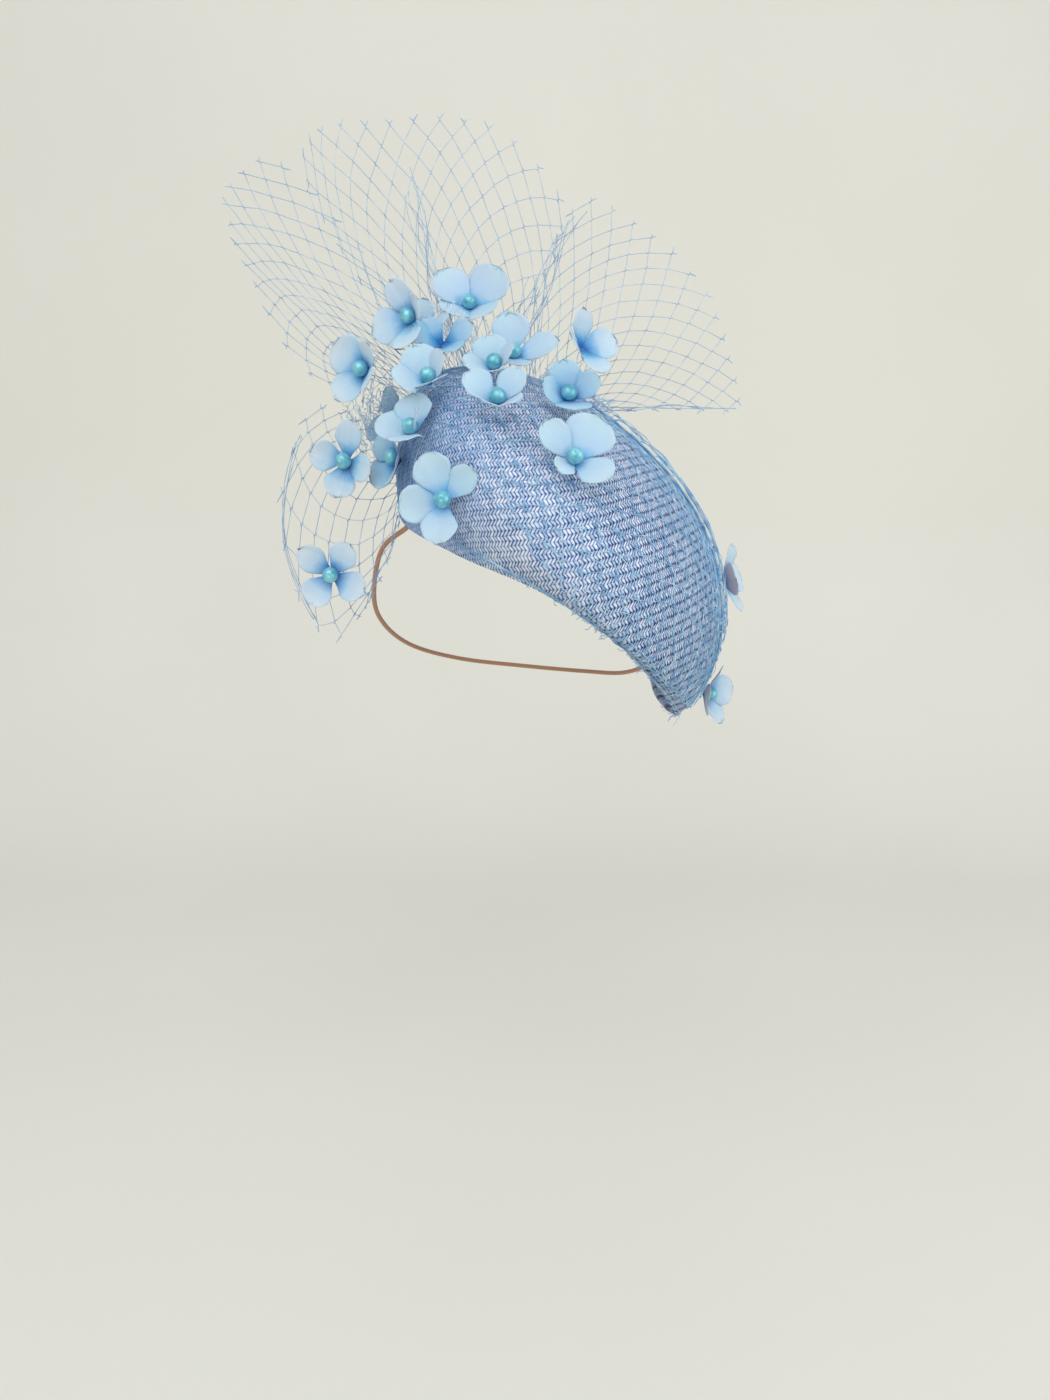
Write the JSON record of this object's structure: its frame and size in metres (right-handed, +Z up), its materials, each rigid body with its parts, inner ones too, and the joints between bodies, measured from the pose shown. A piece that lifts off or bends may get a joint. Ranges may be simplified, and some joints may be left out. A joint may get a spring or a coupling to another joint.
{
  "type": "fascinator",
  "caption": "Tilted teardrop percher of woven straw with fanned diamond veiling, fabric blossoms with pearl centres and a head elastic.",
  "frame": {"origin": "top of the wearer's head under the base, where the hat sits", "axes": "+Z up, the wearer's face towards -Y, the wearer's left towards +X"},
  "size_m": [0.267, 0.2169, 0.3166],
  "materials": {
    "straw": "matte woven straw",
    "veil": "matte net thread",
    "petal": "matte pressed fabric",
    "pearl": "pearlescent",
    "elastic": "matte covered elastic"
  },
  "bodies": {
    "root": {"straw_base": "straw", "veil_left": "veil", "veil_centre": "veil", "veil_right": "veil", "veil_lower": "veil", "veil_drape": "veil", "flower_01": "petal", "flower_02": "petal", "flower_03": "petal", "flower_04": "petal", "flower_05": "petal", "flower_06": "petal", "flower_07": "petal", "flower_08": "petal", "flower_09": "petal", "flower_10": "petal", "flower_11": "petal", "flower_12": "petal", "flower_13": "petal", "flower_14": "petal", "flower_15": "petal", "flower_16": "petal", "flower_17": "petal", "flower_18": "petal", "flower_19": "petal", "flower_20": "petal", "pearl_01": "pearl", "pearl_02": "pearl", "pearl_03": "pearl", "pearl_04": "pearl", "pearl_05": "pearl", "pearl_06": "pearl", "pearl_07": "pearl", "pearl_08": "pearl", "pearl_09": "pearl", "pearl_10": "pearl", "pearl_11": "pearl", "pearl_13": "pearl", "pearl_14": "pearl", "pearl_15": "pearl", "pearl_17": "pearl", "elastic": "elastic"}
  },
  "joints": []
}
